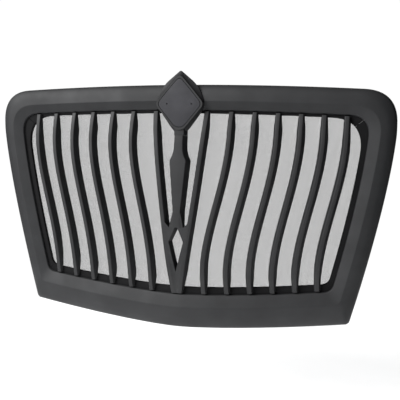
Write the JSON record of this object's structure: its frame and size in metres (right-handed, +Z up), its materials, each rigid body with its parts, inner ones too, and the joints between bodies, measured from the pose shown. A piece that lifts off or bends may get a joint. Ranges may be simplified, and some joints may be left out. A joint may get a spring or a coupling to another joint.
{
  "type": "front grille",
  "caption": "Black moulded front grille with swept vertical bars, a spear-shaped centre post, a blank diamond emblem plate, an insect screen behind and steel brackets to fix it to a bonnet.",
  "frame": {"origin": "the middle of the surround across and in height, on the plane where the bracket pads meet the bonnet", "axes": "+X across the grille towards the right hand side of someone facing its front, +Z up, and the front faces -Y"},
  "size_m": [1.22, 0.1346, 0.7557],
  "materials": {
    "surround": "satin black moulding with a fine grain",
    "bar": "satin black moulding",
    "rail": "matt black moulding",
    "plate": "smooth satin dark grey, blank",
    "screen": "light grey woven insect mesh",
    "strip": "matt black strip",
    "bracket": "zinc plated pressed steel",
    "screw": "zinc plated"
  },
  "bodies": {
    "root": {"surround": "surround", "upper_rail": "rail", "lower_rail": "rail", "left_rail": "rail", "right_rail": "rail", "bar_left_1": "bar", "bar_right_1": "bar", "bar_left_2": "bar", "bar_right_2": "bar", "bar_left_3": "bar", "bar_right_3": "bar", "bar_left_4": "bar", "bar_right_4": "bar", "bar_left_5": "bar", "bar_right_5": "bar", "bar_left_6": "bar", "bar_right_6": "bar", "centre_yoke": "bar", "emblem_pedestal": "bar", "emblem_plate": "plate", "bug_screen": "screen", "screen_retainer_upper": "strip", "screen_retainer_lower": "strip", "screen_retainer_left": "strip", "screen_retainer_right": "strip", "upper_bracket_left": "bracket", "upper_bracket_right": "bracket", "lower_bracket_left": "bracket", "lower_bracket_right": "bracket", "upper_screw_left_1": "screw", "upper_screw_left_2": "screw", "upper_screw_right_1": "screw", "upper_screw_right_2": "screw", "lower_screw_left_1": "screw", "lower_screw_left_2": "screw", "lower_screw_right_1": "screw", "lower_screw_right_2": "screw", "side_screw_left_1": "screw", "side_screw_left_2": "screw", "side_screw_right_1": "screw", "side_screw_right_2": "screw", "pedestal_screw_left": "screw", "pedestal_screw_right": "screw"}
  },
  "joints": []
}
